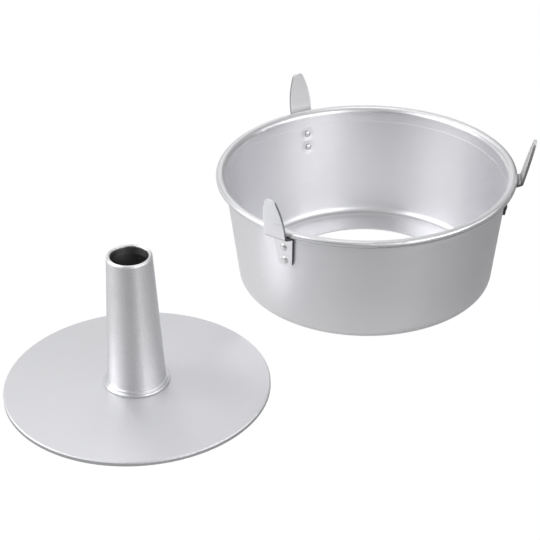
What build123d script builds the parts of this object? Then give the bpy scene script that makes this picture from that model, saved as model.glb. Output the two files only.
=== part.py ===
from build123d import *
import os
from math import asin, atan2, cos, degrees, hypot, radians, sin, tan

# An angel food cake pan with a removable base. The pan stands on its floor ring, and its base,
# a plate with the centre tube clinched into it, stands beside it.
# Millimetres, +Z up. The origin is the centre of the floor opening, at the table.

# Pan: sheet, wall and floor
pan_height = 107.95
wall_top_radius = 128.2      # outside of the wall, carried on up to the rim's top
wall_foot_radius = 115.4     # outside of the wall, carried on down to the table
pan_sheet = 1.2
corner_radius = 8.6          # inside, between wall and floor
opening_radius = 81.6

# Pan: rolled rim and the line scribed below it
rim_reach = 7.05             # from the wall's outside to the rim's edge
bead_height = 5.8
bead_width = 5.2
bead_bend = 2.5
curl_height = 2.7            # how far the rolled edge turns up again inside the bead
flare_radius = 5.0
groove_drop = 12.7
groove_radius = 0.35
groove_depth = 0.15

# Feet: one bent and riveted strip each
foot_sheet = 2.3
tab_lean_angles = {"right": 14.5, "back": 10.5, "front": 10.5}    # degrees outward from upright
first_foot_angle = -6.5      # degrees round from +X; the others follow at equal angles
fold_drop = 2.6              # from the bead's underside down to the lower fold
fold_bend = 3.3
shelf_clearance = 0.35       # between the shelf and the bead above it
shoulder_reach = 2.9         # from the rim out to the upper fold
shoulder_bend = 1.0
tab_rise = 33.6              # from the rim up to the tip
tab_widest_rise = 2.1
tab_half_width = 10.5
tab_side_radius = 80.0
tip_half_width = 4.1
tip_bend = 3.3
fold_half_width = 10.4
end_half_width = 6.8
end_bend = 5.5
end_drop = 6.8               # from the lower rivet down to the strip's end

# Rivets: two in each foot, domed inside and outside
upper_rivet_drop = 20.2      # from the rim's top
lower_rivet_drop = 33.6
rivet_radius = 1.6
rivet_clearance = 0.05
outer_head_radius = 3.5
outer_head_height = 1.5
inner_head_radius = 3.2
inner_head_height = 1.4
inner_head_gap = 0.05        # room for the wall's curve under the flat of the head

# Base plate: slightly crowned, with its edge turned down
plate_x = -201.4
plate_y = -180.8
plate_clearance = 1.9        # between the plate and the foot of the wall
plate_sheet = 1.0
plate_edge_height = 3.6
plate_bend = 1.4
plate_crown_radius = 1065.0
hub_flat_margin = 1.5        # flat stretch of the plate outside the tube's base
hole_edge_bend = 0.35

# Centre tube: tapered, stepped at its base and rolled inward at its mouth
tube_sheet = 0.8
tube_height = 120.75         # above the plate
tube_foot_radius = 24.7
mouth_radius = 15.5
lip_width = 3.4
lip_bend = 1.8
lip_depth = 8.0
lower_bead_radius = 28.2
lower_bead_height = 2.5
lower_bead_bend = 1.2
upper_bead_radius = 26.5
upper_bead_height = 2.4
upper_bead_bend = 1.0
crease_bend = 0.3
neck_radius = 24.0
clinch_radius = 26.5
clinch_clearance = 0.05

overrun = 5.0                # how far every cutting solid runs past what it cuts

# Places worked out from the sizes above
wall_angle = atan2(wall_top_radius - wall_foot_radius, pan_height)
wall_slope = (wall_top_radius - wall_foot_radius) / pan_height
rim_radius = wall_top_radius + rim_reach
bead_floor = pan_height - bead_height
foot_angles = {name: first_foot_angle + 360 * i / len(tab_lean_angles)
               for i, name in enumerate(tab_lean_angles)}
plate_radius = wall_foot_radius - pan_sheet - plate_clearance
hub_flat_radius = lower_bead_radius + hub_flat_margin
crown_angle = asin((plate_radius - plate_bend - hub_flat_radius) / (plate_crown_radius - plate_bend))
plate_top = plate_edge_height + plate_crown_radius * (1 - cos(crown_angle))
plate_underside = plate_top - plate_sheet
base_place = Pos(plate_x, plate_y, 0)


def wall_radius(height):
    """Outside radius of the pan's wall at a height."""
    return wall_foot_radius + wall_slope * height


def sheet_section(corners, bends, sheet):
    """Section of a bent sheet: a skin line with rounded corners, and the sheet to its left."""
    points = [Vector(*corner) for corner in corners]
    ways = [(end - start).normalized() for start, end in zip(points, points[1:])]
    sides = [Vector(-way.Y, way.X) * sheet for way in ways]
    back_points = [points[0] + sides[0]]
    back_bends = []
    for i, bend in enumerate(bends):
        way_in, way_out = ways[i], ways[i + 1]
        back_points.append(points[i + 1] + (sides[i] + sides[i + 1]) / (1 + way_in.dot(way_out)))
        turns_left = way_in.cross(way_out).Z > 0
        back_bends.append(bend - sheet if turns_left else bend + sheet)
    back_points.append(points[-1] + sides[-1])
    skin = FilletPolyline(*points, radius=list(bends))
    back = FilletPolyline(*back_points, radius=back_bends)
    ends = [Line(skin @ 0, back @ 0), Line(skin @ 1, back @ 1)]
    return Plane.XZ * make_face([skin, back, *ends])


def rivet_plane(height):
    """Plane on the wall's outside at a height, facing straight out of it, on the +X side."""
    return Plane(
        origin=(wall_radius(height), 0, height),
        x_dir=(0, 1, 0),
        z_dir=(cos(wall_angle), 0, -sin(wall_angle)),
    )


rivet_heights = {"upper": pan_height - upper_rivet_drop, "lower": pan_height - lower_rivet_drop}


def rivet_holes():
    """Cutters for the two rivet holes of a foot on the +X side."""
    radius = rivet_radius + rivet_clearance
    depth = 2 * (pan_sheet + foot_sheet + overrun)
    return [rivet_plane(height) * Cylinder(radius, depth) for height in rivet_heights.values()]


def make_pan_body():
    """The wall, the floor ring and the rolled rim, from one sheet."""
    inner_shift = pan_sheet / cos(wall_angle)
    corners = [
        (rim_radius - bead_width, bead_floor + curl_height),
        (rim_radius - bead_width, bead_floor),
        (rim_radius, bead_floor),
        (rim_radius, pan_height),
        (wall_top_radius - inner_shift, pan_height),
        (wall_radius(pan_sheet) - inner_shift, pan_sheet),
        (opening_radius, pan_sheet),
    ]
    bends = [bead_bend, bead_bend, bead_bend, flare_radius, corner_radius]
    body = revolve(sheet_section(corners, bends, pan_sheet), Axis.Z)

    groove_height = pan_height - groove_drop
    groove_centre = wall_radius(groove_height) - inner_shift + groove_depth - groove_radius
    body -= revolve(Plane.XZ * Pos(groove_centre, groove_height) * Circle(groove_radius), Axis.Z)

    for angle in foot_angles.values():
        body -= [Rot(0, 0, angle) * hole for hole in rivet_holes()]
    return body


def foot_outline():
    """Front view of a foot: a tapered lower plate and a leaf-shaped tab."""
    end_height = pan_height - lower_rivet_drop - end_drop
    fold_height = bead_floor - fold_drop
    tip_height = pan_height + tab_rise
    with BuildSketch(Plane.YZ) as outline:
        with BuildLine():
            lower = Polyline(
                (0, end_height),
                (end_half_width, end_height),
                (fold_half_width, fold_height),
                (tab_half_width, pan_height + tab_widest_rise),
            )
            side = RadiusArc(lower @ 1, (tip_half_width, tip_height), -tab_side_radius)
            Line(side @ 1, (0, tip_height))
            mirror(about=Plane.YZ)
        make_face()
        fillet(outline.vertices().group_by(Axis.Y)[0], end_bend)
        fillet(outline.vertices().group_by(Axis.Y)[-1], tip_bend)
    return outline.sketch


def make_foot(lean_angle):
    """A foot on the +X side: riveted plate, shelf under the rim, and tab."""
    fold_height = bead_floor - fold_drop
    to_bead_out = rim_radius - bead_bend - wall_radius(fold_height)
    to_bead_up = fold_drop + bead_bend
    shelf_angle = (atan2(to_bead_up, to_bead_out)
                   - asin((bead_bend + shelf_clearance) / hypot(to_bead_up, to_bead_out)))
    shoulder_radius = rim_radius + shoulder_reach
    shoulder_height = fold_height + (shoulder_radius - wall_radius(fold_height)) * tan(shelf_angle)
    top_height = pan_height + tab_rise + overrun
    end_height = pan_height - lower_rivet_drop - end_drop - overrun
    corners = [
        (shoulder_radius + (top_height - shoulder_height) * tan(radians(lean_angle)), top_height),
        (shoulder_radius, shoulder_height),
        (wall_radius(fold_height), fold_height),
        (wall_radius(end_height), end_height),
    ]
    strip = extrude(sheet_section(corners, [shoulder_bend, fold_bend], foot_sheet),
                    tab_half_width + overrun, both=True)
    foot = strip & extrude(foot_outline(), 2 * rim_radius)
    foot -= rivet_holes()
    return foot


def domed_head(radius, height, base):
    """Arc of a domed head's section, from its rim at a base level to its crown on the axis."""
    dome_radius = (radius ** 2 + height ** 2) / (2 * abs(height))
    mid_angle = atan2(radius, dome_radius - abs(height)) / 2
    middle = (dome_radius * sin(mid_angle),
              base + height - (1 if height > 0 else -1) * dome_radius * (1 - cos(mid_angle)))
    return ThreePointArc((radius, base), middle, (0, base + height))


def make_rivet(height):
    """One rivet on the +X side: its shank, the head on the foot and the smaller head inside."""
    outer_seat = foot_sheet
    inner_seat = -pan_sheet - inner_head_gap
    outer_dome = domed_head(outer_head_radius, outer_head_height, outer_seat)
    inner_dome = domed_head(inner_head_radius, -inner_head_height, inner_seat)
    shank = Polyline(
        (outer_head_radius, outer_seat),
        (rivet_radius, outer_seat),
        (rivet_radius, inner_seat),
        (inner_head_radius, inner_seat),
    )
    axis_line = Line(inner_dome @ 1, outer_dome @ 1)
    section = Plane.XZ * make_face([outer_dome, shank, inner_dome, axis_line])
    return rivet_plane(height) * revolve(section, Axis.Z)


def make_base_plate():
    """The crowned plate, with a flat hub round its hole and its edge turned down."""
    hole_radius = neck_radius + clinch_clearance
    crown_inside = plate_crown_radius - plate_sheet
    bend_centre = (hub_flat_radius + (plate_crown_radius - plate_bend) * sin(crown_angle),
                   plate_top - plate_crown_radius + (plate_crown_radius - plate_bend) * cos(crown_angle))
    crown_centre = (hub_flat_radius, plate_top - plate_crown_radius)
    arc_end = 90 - degrees(crown_angle)
    hub_top = Line((hole_radius, plate_top), (hub_flat_radius, plate_top))
    crown_top = CenterArc(crown_centre, plate_crown_radius, 90, -degrees(crown_angle))
    bend_top = CenterArc(bend_centre, plate_bend, arc_end, -arc_end)
    edge = Polyline(bend_top @ 1, (plate_radius, 0), (plate_radius - plate_sheet, 0),
                    (plate_radius - plate_sheet, bend_centre[1]))
    bend_under = CenterArc(bend_centre, plate_bend - plate_sheet, 0, arc_end)
    crown_under = CenterArc(crown_centre, crown_inside, arc_end, degrees(crown_angle))
    hub_under = Polyline((hub_flat_radius, plate_underside), (hole_radius, plate_underside),
                         (hole_radius, plate_top))
    section = Plane.XZ * make_face([hub_top, crown_top, bend_top, edge, bend_under, crown_under, hub_under])
    plate = revolve(section, Axis.Z)
    hole_edges = plate.edges().filter_by(GeomType.CIRCLE).filter_by(lambda e: e.radius < clinch_radius)
    return base_place * fillet(hole_edges, hole_edge_bend)


def make_centre_tube():
    """The tube: clinched neck, two-stepped base, tapered wall and a lip rolled inward."""
    lower_bead_top = plate_top + lower_bead_height
    upper_bead_top = lower_bead_top + upper_bead_height
    mouth_height = plate_top + tube_height
    corners = [
        (clinch_radius, plate_underside),
        (neck_radius, plate_underside),
        (neck_radius, plate_top),
        (lower_bead_radius, plate_top),
        (lower_bead_radius, lower_bead_top),
        (upper_bead_radius, lower_bead_top),
        (upper_bead_radius, upper_bead_top),
        (tube_foot_radius, upper_bead_top),
        (mouth_radius + lip_width, mouth_height),
        (mouth_radius, mouth_height),
        (mouth_radius, mouth_height - lip_depth),
    ]
    bends = [crease_bend, crease_bend, lower_bead_bend, lower_bead_bend, crease_bend,
             upper_bead_bend, crease_bend, lip_bend, lip_bend]
    return base_place * revolve(sheet_section(corners, bends, tube_sheet), Axis.Z)


def make_parts():
    """Every piece by its node name."""
    parts = {"pan_body": make_pan_body()}
    rivets = {level: make_rivet(height) for level, height in rivet_heights.items()}
    for name, angle in foot_angles.items():
        turn = Rot(0, 0, angle)
        parts[f"foot_{name}"] = turn * make_foot(tab_lean_angles[name])
        for level, rivet in rivets.items():
            parts[f"rivet_{name}_{level}"] = turn * rivet
    parts["base_plate"] = make_base_plate()
    parts["centre_tube"] = make_centre_tube()
    return parts


os.makedirs("parts", exist_ok=True)
for node, piece in make_parts().items():
    export_step(piece, f"parts/{node}.step")
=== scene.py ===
import bpy
from math import cos, radians, sin
from mathutils import Matrix, Vector


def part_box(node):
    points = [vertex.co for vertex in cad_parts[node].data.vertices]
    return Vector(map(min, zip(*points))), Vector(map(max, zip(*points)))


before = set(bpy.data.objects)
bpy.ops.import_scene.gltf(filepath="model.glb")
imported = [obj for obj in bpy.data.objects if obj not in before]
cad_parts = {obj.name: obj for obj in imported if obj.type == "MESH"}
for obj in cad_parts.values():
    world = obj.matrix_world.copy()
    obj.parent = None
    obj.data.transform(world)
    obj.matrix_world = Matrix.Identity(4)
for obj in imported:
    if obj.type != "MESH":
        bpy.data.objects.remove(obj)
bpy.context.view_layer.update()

# Lengths are in metres. A pair of heights, radii, distances or slopes says where a change starts
# and where it is complete. A slope is a surface normal's component along a direction: 1 where the
# surface faces that way, 0 where it lies along it, -1 where it faces away.
UP = (0, 0, 1)
BACK = (0, 1, 0)
WHITE = (1, 1, 1, 1)

# Camera, from the round edges in the photograph: angles in degrees, lens and sensor in millimetres
CAMERA_PLACE = (-0.08806, -1.41498, 0.84208)
CAMERA_DOWN = 30.635
CAMERA_ROLL = 1.0043
CAMERA_LENS = 117.962
SENSOR_WIDTH = 36.0

# Soft round lamps on a dome: degrees round from +X, degrees up, watts
LAMP_TARGET = Vector((-0.08, -0.05, 0.05))
LAMP_DISTANCE = 2.0
LAMP_RADIUS = 0.38
LAMPS = {
    "left_key": (180, 30, 10.6),
    "left_high": (180, 50, 2.9),
    "front_left": (210, 30, 4.0),
    "front_left_high": (210, 50, 2.4),
    "front_low": (270, 30, 1.2),
    "front_right_key": (300, 30, 7.0),
    "front_right_low": (300, 10, 2.1),
    "right_fill": (330, 30, 7.0),
    "right_low": (0, 30, 2.4),
    "back_top": (90, 70, 2.8),
    "back_low": (90, 30, 1.0),
    "back_left_high": (120, 50, 2.2),
}

# World: white to the camera. Metal sees a backdrop that is white at the back and left, dim on the
# right and nearly black in front, under a grey ceiling. The slopes are those of the ray.
CEILING_SLOPES = (0.15, 0.45)            # upward, from the backdrop to the ceiling
BACKDROP_BACK_SLOPES = (-0.5, 0.1)       # towards the back
BACKDROP_RIGHT_SLOPES = (-0.4, 0.4)      # towards the right
FRONT_GREY = 0.05
RIGHT_GREY = 0.18
CEILING_GREY = 0.45

# Floor: paper that is white to the camera and keeps some of the shadow. Metal sees it glow: most
# inside the pan's opening, more on the left than on the right, and less far in front.
FLOOR_HALF = 3.0
FLOOR_COLOUR = (0.5, 0.5, 0.5, 1)
FLOOR_WHITE = 1.07
FLOOR_WHITE_SHARE = 0.92                 # of what the camera sees, the rest is lit paper
FLOOR_LEFTWARD = (-1, 0.6, 0)
GLOW_LEFTWARD_PLACES = (-0.25, 0.1)      # along FLOOR_LEFTWARD
GLOW_RIGHT = 0.08
GLOW_LEFT = 0.38
GLOW_BACKWARD_PLACES = (-0.5, -0.28)     # along BACK
GLOW_FRONT_SHARE = 0.4
GLOW_IN_OPENING = 0.6
OPENING_RADII = (0.07, 0.1)

# Pan
PAN_COLOUR = (0.815, 0.815, 0.835)
FLOOR_RING_HEIGHTS = (0.014, 0.004)      # down from the wall, round the corner, to the floor ring
# Where a dark line of painted shade runs round the corner
CORNER_LINE_INNER_RADII = (0.1095, 0.1107)
CORNER_LINE_OUTER_RADII = (0.1127, 0.1115)
SCRIBED_HEIGHT = 0.09525
SCRIBED_DISTANCES = (0.0006, 0.0003)
# Where the rim's underside gets painted shade
UNDER_RIM_HEIGHTS = (0.098, 0.1)
UNDER_RIM_SLOPES = (-0.1, -0.5)
RIM_HEIGHTS = (0.1005, 0.102)
DIMPLE_RADII = (0.0034, 0.0075)

# Base plate
PLATE_COLOUR = (0.74, 0.741, 0.763)
# Where the side of the edge gets painted shade
PLATE_EDGE_RADII = (0.1106, 0.1114)
PLATE_EDGE_SLOPES = (0.5, 0.1)

# Centre tube
TUBE_COLOUR = (0.725, 0.725, 0.741)
TUBE_SMOOTH_HEIGHTS = (0.014, 0.008)
TUBE_STEP_HEIGHTS = (0.0125, 0.0115)
# Where the mouth gets a painted highlight
TUBE_MOUTH_HEIGHTS = (0.1245, 0.1262)
# Where the inside gets painted shade
TUBE_INSIDE_SLOPES = (-0.6, -0.95)

# Feet
FOOT_COLOUR = (0.76, 0.76, 0.765)
FOOT_RADIUS = 0.135                      # about their distance from the pan's axis
BRUSH_ACROSS = 1800.0                    # grains per metre across the strip
BRUSH_ALONG = 60.0                       # and along it
# Edges: worn, and brightened by a painted highlight
EDGE_WEAR_AND_HIGHLIGHT_RADIUS = 0.0008
EDGE_WEAR_AND_HIGHLIGHT_SLOPES = (0.99, 0.85)
EDGE_WEAR_AND_PAINTED_HIGHLIGHT = 0.25                        # added to the tint
# Where painted shade falls on cut sides, undersides, the shelf and below the rim, and painted light
# on faces turned up
SIDE_SLOPES = (0.75, 0.97)
TAB_HEIGHTS = (0.102, 0.112)
FACING_DOWN_SLOPES = (-0.2, -0.8)
FACING_UP_SLOPES = (0.4, 0.8)
SHELF_HEIGHTS = (0.106, 0.102)
SHELF_SLOPES = (0.3, 0.7)
BELOW_RIM_HEIGHTS = (0.104, 0.098)
BELOW_RIM_SLOPES = (0.6, 0.9)
FOOT_EDGE_WIDTH = 0.0004
FOOT_EDGE_ANGLE = 40                     # degrees of turn above which an edge is rounded
WELD_DISTANCE = 0.00001

# Rivets
RIVET_COLOUR = (0.78, 0.78, 0.785)
# Where painted shade round the head's edge fades out
RIVET_HEAD_SLOPES = (0.45, 0.9)          # from the head's edge to its middle


def make_camera():
    data = bpy.data.cameras.new("camera")
    data.lens = CAMERA_LENS
    data.sensor_width = SENSOR_WIDTH
    camera = bpy.data.objects.new("camera", data)
    bpy.context.scene.collection.objects.link(camera)
    down = Matrix.Rotation(radians(90 - CAMERA_DOWN), 4, "X")
    roll = Matrix.Rotation(radians(-CAMERA_ROLL), 4, "Z")
    camera.matrix_world = Matrix.Translation(CAMERA_PLACE) @ down @ roll
    bpy.context.scene.camera = camera


def make_lamps():
    for name, (round_angle, up_angle, power) in LAMPS.items():
        data = bpy.data.lights.new(name, "AREA")
        data.shape = "DISK"
        data.size = 2 * LAMP_RADIUS
        data.energy = power
        lamp = bpy.data.objects.new(name, data)
        bpy.context.scene.collection.objects.link(lamp)
        around, up = radians(round_angle), radians(up_angle)
        place = LAMP_DISTANCE * Vector((cos(up) * cos(around), cos(up) * sin(around), sin(up)))
        lamp.location = place
        lamp.rotation_euler = (LAMP_TARGET - place).to_track_quat("-Z", "Y").to_euler()
        lamp.visible_camera = False


class Tree:
    """Short calls for building a node tree. A value is a number, a vector or a socket."""

    def __init__(self, owner):
        owner.use_nodes = True
        self.nodes, self.links = owner.node_tree.nodes, owner.node_tree.links

    def put(self, socket, value):
        if isinstance(value, bpy.types.NodeSocket):
            self.links.new(value, socket)
        else:
            socket.default_value = value

    def add(self, kind, values=(), **settings):
        node = self.nodes.new("ShaderNode" + kind)
        for key, value in settings.items():
            setattr(node, key, value)
        for key, value in dict(values).items():
            self.put(node.inputs[key], value)
        return node

    def math(self, operation, *values):
        return self.add("Math", enumerate(values), operation=operation).outputs[0]

    def times(self, first, second):
        return self.math("MULTIPLY", first, second)

    def sum(self, *values):
        total = values[0]
        for value in values[1:]:
            total = self.math("ADD", total, value)
        return total

    def vector(self, operation, *values):
        node = self.add("VectorMath", enumerate(values), operation=operation)
        return node.outputs["Value" if operation in ("DOT_PRODUCT", "LENGTH") else "Vector"]

    def combine(self, x, y, z):
        return self.add("CombineXYZ", enumerate((x, y, z))).outputs[0]

    def ramp(self, value, places, low=0.0, high=1.0):
        """A smooth change from low, at the first of two places, to high, at the second."""
        start, end = places
        values = {"Value": value, "From Min": start, "From Max": end, "To Min": low, "To Max": high}
        return self.add("MapRange", values, interpolation_type="SMOOTHSTEP").outputs["Result"]

    def noise(self, where, scale=1.0, detail=2.0):
        values = {"Vector": where, "Scale": scale, "Detail": detail}
        return self.add("TexNoise", values).outputs["Fac"]

    def vary(self, value, amount, middle=0.0):
        """A 0 to 1 value as a change of plus or minus amount round middle."""
        return self.math("MULTIPLY_ADD", value, 2 * amount, middle - amount)

    def shiny(self, ray):
        """1 for a ray by which metal or glass shows its surroundings."""
        return self.math("MAXIMUM", ray["Is Glossy Ray"], ray["Is Transmission Ray"])


def make_world():
    world = bpy.data.worlds.new("studio")
    bpy.context.scene.world = world
    tree = Tree(world)
    ray = tree.add("LightPath").outputs
    direction = tree.add("TexCoord").outputs["Generated"]
    across, depth, height = tree.add("SeparateXYZ", {0: direction}).outputs
    backdrop = tree.times(
        tree.ramp(depth, BACKDROP_BACK_SLOPES, low=FRONT_GREY),
        tree.ramp(across, BACKDROP_RIGHT_SLOPES, low=1.0, high=RIGHT_GREY),
    )
    below_ceiling = tree.ramp(height, CEILING_SLOPES, low=1.0, high=0.0)
    ceiling = tree.ramp(height, CEILING_SLOPES, high=CEILING_GREY)
    room = tree.math("MULTIPLY_ADD", backdrop, below_ceiling, ceiling)
    to_metal = tree.times(tree.shiny(ray), room)
    background = tree.nodes["Background"]
    background.inputs["Color"].default_value = WHITE
    tree.put(background.inputs["Strength"], tree.math("MAXIMUM", ray["Is Camera Ray"], to_metal))


def floor_paper():
    material = bpy.data.materials.new("floor")
    tree = Tree(material)
    ray = tree.add("LightPath").outputs
    place = tree.add("TexCoord").outputs["Object"]
    leftward = tree.vector("DOT_PRODUCT", place, FLOOR_LEFTWARD)
    backward = tree.vector("DOT_PRODUCT", place, BACK)
    outside = tree.times(
        tree.ramp(leftward, GLOW_LEFTWARD_PLACES, GLOW_RIGHT, GLOW_LEFT),
        tree.ramp(backward, GLOW_BACKWARD_PLACES, low=GLOW_FRONT_SHARE),
    )
    inside = tree.ramp(tree.vector("LENGTH", place), OPENING_RADII, GLOW_IN_OPENING, 0.0)
    to_metal = tree.times(tree.shiny(ray), tree.math("MAXIMUM", outside, inside))
    to_camera = tree.times(ray["Is Camera Ray"], FLOOR_WHITE_SHARE)

    paper = tree.add("BsdfDiffuse", {"Color": FLOOR_COLOUR})
    white = tree.add("Emission", {"Color": WHITE, "Strength": FLOOR_WHITE})
    mix = tree.add("MixShader", {0: to_camera, 1: paper.outputs[0], 2: white.outputs[0]})
    glow = tree.add("Emission", {"Color": WHITE, "Strength": to_metal})
    total = tree.add("AddShader", {0: mix.outputs[0], 1: glow.outputs[0]})
    tree.put(tree.nodes["Material Output"].inputs["Surface"], total.outputs[0])
    return material


def make_floor():
    low, high = -FLOOR_HALF, FLOOR_HALF
    corners = [(low, low, 0), (high, low, 0), (high, high, 0), (low, high, 0)]
    mesh = bpy.data.meshes.new("floor")
    mesh.from_pydata(corners, [], [(0, 1, 2, 3)])
    floor = bpy.data.objects.new("floor", mesh)
    bpy.context.scene.collection.objects.link(floor)
    mesh.materials.append(floor_paper())


def middle_of(node):
    low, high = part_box(node)
    return (Vector(low) + Vector(high)) / 2


class Metal(Tree):
    """An aluminium material, with its surface coordinates round an upright axis."""

    QUARTER_TURN = 0.25

    def __init__(self, name, roughness, anisotropy=0.0, axis=(0, 0)):
        self.material = bpy.data.materials.new(name)
        super().__init__(self.material)
        self.shader = self.nodes["Principled BSDF"]
        self.shader.inputs["Metallic"].default_value = 1.0
        self.shader.inputs["Anisotropic"].default_value = anisotropy
        self.shader.inputs["Anisotropic Rotation"].default_value = self.QUARTER_TURN
        self.place = self.vector("SUBTRACT", self.add("TexCoord").outputs["Object"], (*axis, 0))
        self.x, self.y, self.z = self.add("SeparateXYZ", {0: self.place}).outputs
        self.level = self.combine(self.x, self.y, 0.0)
        self.radius = self.vector("LENGTH", self.level)
        self.around = self.vector("NORMALIZE", self.vector("CROSS_PRODUCT", UP, self.place))
        self.put(self.shader.inputs["Tangent"], self.around)
        self.facing = self.add("NewGeometry").outputs["Normal"]
        self.roughness = roughness
        self.shade = 1.0
        self.normal = None

    def slope(self, direction):
        return self.vector("DOT_PRODUCT", self.facing, direction)

    def outward_slope(self):
        return self.slope(self.vector("NORMALIZE", self.level))

    def rings(self, pitch, streak):
        """Noise in rings round the axis, one about every pitch, broken up along them."""
        x = self.times(self.x, 1 / streak)
        y = self.times(self.y, 1 / streak)
        along = self.times(self.sum(self.z, self.radius), 1 / pitch)
        return self.noise(self.combine(x, y, along))

    def roughen(self, where, amount):
        self.roughness = self.math("MULTIPLY_ADD", where, amount, self.roughness)

    def tint(self, factor):
        self.shade = self.times(self.shade, factor)

    def darken(self, where, share):
        self.tint(self.math("SUBTRACT", 1.0, self.times(where, share)))

    def mottle(self, value, roughness, tint=0.0):
        """Lets a 0 to 1 noise change the roughness and the tint by plus or minus these amounts."""
        self.roughness = self.sum(self.roughness, self.vary(value, roughness))
        if tint:
            self.tint(self.vary(value, tint, middle=1.0))

    def bump(self, height, depth):
        values = {"Strength": 1.0, "Distance": depth, "Height": height}
        if self.normal is not None:
            values["Normal"] = self.normal
        self.normal = self.add("Bump", values).outputs[0]

    def finish(self, colour):
        shaded = self.add("VectorMath", {0: colour, "Scale": self.shade}, operation="SCALE")
        self.put(self.shader.inputs["Base Color"], shaded.outputs["Vector"])
        self.put(self.shader.inputs["Roughness"], self.roughness)
        self.put(self.shader.inputs["Normal"], self.normal)
        return self.material


def spun_pan():
    """Satin metal with fine rings from spinning, and a dimple round each rivet."""
    metal = Metal("pan_metal", roughness=0.45, anisotropy=0.5)
    fine = metal.rings(pitch=0.0007, streak=0.08)
    wide = metal.rings(pitch=0.005, streak=0.12)
    smudge = metal.noise(metal.place, scale=14.0, detail=3.0)
    metal.mottle(fine, roughness=0.05, tint=0.03)
    metal.mottle(wide, roughness=0.05)
    metal.mottle(smudge, roughness=0.04)
    metal.bump(metal.sum(fine, wide), depth=0.00002)

    # The rim, and the floor ring with its corner, are smoother than the wall; the line scribed in
    # the wall is rougher
    metal.roughen(metal.ramp(metal.z, RIM_HEIGHTS), amount=-0.08)
    metal.roughen(metal.ramp(metal.z, FLOOR_RING_HEIGHTS), amount=-0.08)
    from_line = metal.math("ABSOLUTE", metal.math("SUBTRACT", metal.z, SCRIBED_HEIGHT))
    metal.roughen(metal.ramp(from_line, SCRIBED_DISTANCES), amount=0.15)

    # Painted shade: a dark line painted round the corner, and the underside of the rim painted dark
    corner_shade_line = metal.times(
        metal.ramp(metal.radius, CORNER_LINE_INNER_RADII),
        metal.ramp(metal.radius, CORNER_LINE_OUTER_RADII),
    )
    metal.darken(corner_shade_line, share=0.2)
    # Painted shade under the rolled rim, on faces turned down
    under_rim_shade = metal.times(
        metal.ramp(metal.z, UNDER_RIM_HEIGHTS),
        metal.ramp(metal.slope(UP), UNDER_RIM_SLOPES),
    )
    metal.darken(under_rim_shade, share=0.36)

    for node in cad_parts:
        if node.startswith("rivet"):
            offset = metal.vector("SUBTRACT", metal.place, tuple(middle_of(node)))
            dimple = metal.ramp(metal.vector("LENGTH", offset), DIMPLE_RADII, low=-1.0, high=0.0)
            metal.bump(dimple, depth=0.0004)
    return metal.finish(PAN_COLOUR)


def matt_plate(axis):
    """Matt metal with a fine grain, wide rings, and painted shade on its edge."""
    metal = Metal("plate_metal", roughness=0.56, axis=axis)
    grain = metal.noise(metal.place, scale=1400.0, detail=2.0)
    wide = metal.rings(pitch=0.004, streak=0.1)
    smudge = metal.noise(metal.place, scale=11.0, detail=3.0)
    metal.mottle(grain, roughness=0.05, tint=0.03)
    metal.mottle(wide, roughness=0.03)
    metal.mottle(smudge, roughness=0.04)
    metal.bump(metal.sum(grain, wide), depth=0.00002)
    # Painted shade on the side of the edge, which faces outward and not up
    edge = metal.times(
        metal.ramp(metal.radius, PLATE_EDGE_RADII),
        metal.ramp(metal.slope(UP), PLATE_EDGE_SLOPES),
    )
    metal.darken(edge, share=0.35)
    return metal.finish(PLATE_COLOUR)


def satin_tube(axis):
    """Grainy satin metal with a smoother foot, a painted highlight on the mouth and painted shade
    inside.
    """
    metal = Metal("tube_metal", roughness=0.45, anisotropy=0.65, axis=axis)
    grain = metal.noise(metal.place, scale=750.0, detail=3.0)
    fine = metal.rings(pitch=0.0006, streak=0.03)
    metal.mottle(grain, roughness=0.07, tint=0.14)
    metal.mottle(fine, roughness=0.04)
    metal.bump(metal.sum(grain, fine), depth=0.00003)
    metal.roughen(metal.ramp(metal.z, TUBE_SMOOTH_HEIGHTS), amount=-0.12)
    metal.tint(metal.ramp(metal.z, TUBE_STEP_HEIGHTS, low=1.0, high=1.07))
    # Painted highlight: the rolled mouth is painted brighter
    metal.tint(metal.ramp(metal.z, TUBE_MOUTH_HEIGHTS, low=1.0, high=1.25))
    # Painted shade: the inside of the tube is painted dark
    metal.tint(metal.ramp(metal.outward_slope(), TUBE_INSIDE_SLOPES, low=1.0, high=0.28))
    return metal.finish(TUBE_COLOUR)


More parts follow.
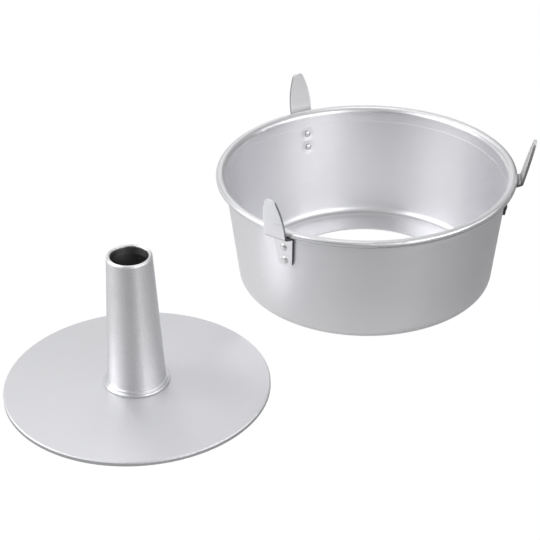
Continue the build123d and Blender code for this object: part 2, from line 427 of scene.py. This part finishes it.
def brushed_strip():
    """Brushed strip with worn edges that get a painted highlight, painted light on tops, and
    painted shade on cut sides (partly duller sheared metal), undersides, shelf and below the rim.
    """
    metal = Metal("foot_metal", roughness=0.42)
    angle = metal.math("ARCTAN2", metal.y, metal.x)
    brush = metal.noise(metal.combine(
        metal.times(angle, FOOT_RADIUS * BRUSH_ACROSS),
        metal.times(metal.z, BRUSH_ALONG),
        metal.times(metal.radius, BRUSH_ALONG),
    ))
    metal.mottle(brush, roughness=0.06)
    metal.bump(brush, depth=0.00002)
    edge = worn_and_highlit_edge(metal)
    metal.roughen(edge, amount=-0.12)
    # The brush grain varies the tint; a painted highlight, with wear, brightens the edges
    metal.tint(metal.sum(metal.vary(brush, amount=0.04, middle=1.0), metal.times(edge, EDGE_WEAR_AND_PAINTED_HIGHLIGHT)))

    # Cut sides darker, partly duller sheared metal and partly painted shade, most of all below the
    # tab
    sideward = metal.math("ABSOLUTE", metal.slope(metal.around))
    upward = metal.slope(UP)
    side_share = metal.ramp(metal.z, TAB_HEIGHTS, low=0.7, high=0.55)
    metal.darken(metal.ramp(sideward, SIDE_SLOPES), share=side_share)
    # Painted shade on faces turned down, and painted light on faces turned up
    metal.darken(metal.ramp(upward, FACING_DOWN_SLOPES), share=0.7)
    metal.tint(metal.ramp(upward, FACING_UP_SLOPES, low=1.0, high=1.2))
    # Painted shade on the shelf's top and on the sides below the rim
    shelf_shade = metal.times(metal.ramp(metal.z, SHELF_HEIGHTS), metal.ramp(upward, SHELF_SLOPES))
    metal.darken(shelf_shade, share=0.6)
    below_rim_shade = metal.times(
        metal.ramp(metal.z, BELOW_RIM_HEIGHTS),
        metal.ramp(sideward, BELOW_RIM_SLOPES),
    )
    metal.darken(below_rim_shade, share=0.6)
    return metal.finish(FOOT_COLOUR)


def worn_and_highlit_edge(metal):
    """1 along the sharp edges, which handling has worn and which get a painted highlight."""
    rounded = metal.add("Bevel", {"Radius": EDGE_WEAR_AND_HIGHLIGHT_RADIUS}, samples=6).outputs[0]
    return metal.ramp(metal.slope(rounded), EDGE_WEAR_AND_HIGHLIGHT_SLOPES)


def hammered_rivet():
    """Metal with small hammered facets, and painted shade where the head falls away."""
    metal = Metal("rivet_head", roughness=0.35)
    facets = metal.noise(metal.place, scale=600.0, detail=1.0)
    metal.mottle(facets, roughness=0.06, tint=0.06)
    metal.bump(facets, depth=0.00003)
    flat = metal.math("ABSOLUTE", metal.outward_slope())
    # Painted shade round the head's edge
    metal.tint(metal.ramp(flat, RIVET_HEAD_SLOPES, low=0.3))
    return metal.finish(RIVET_COLOUR)


def dress(node, material):
    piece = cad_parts[node]
    piece.data.materials.clear()
    piece.data.materials.append(material)


def round_edges(node):
    """Joins the faces' separate corners, and rounds the sharp edges between the faces."""
    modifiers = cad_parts[node].modifiers
    weld = modifiers.new("joined", "WELD")
    weld.merge_threshold = WELD_DISTANCE
    bevel = modifiers.new("edges", "BEVEL")
    bevel.width = FOOT_EDGE_WIDTH
    bevel.segments = 3
    bevel.limit_method = "ANGLE"
    bevel.angle_limit = radians(FOOT_EDGE_ANGLE)


def dress_all():
    base_axis = tuple(middle_of("centre_tube").xy)
    dress("pan_body", spun_pan())
    dress("base_plate", matt_plate(base_axis))
    dress("centre_tube", satin_tube(base_axis))
    strip, rivet = brushed_strip(), hammered_rivet()
    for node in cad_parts:
        if node.startswith("foot"):
            dress(node, strip)
            round_edges(node)
        elif node.startswith("rivet"):
            dress(node, rivet)


make_camera()
make_world()
make_lamps()
make_floor()
dress_all()
bpy.context.scene.view_settings.view_transform = "Standard"
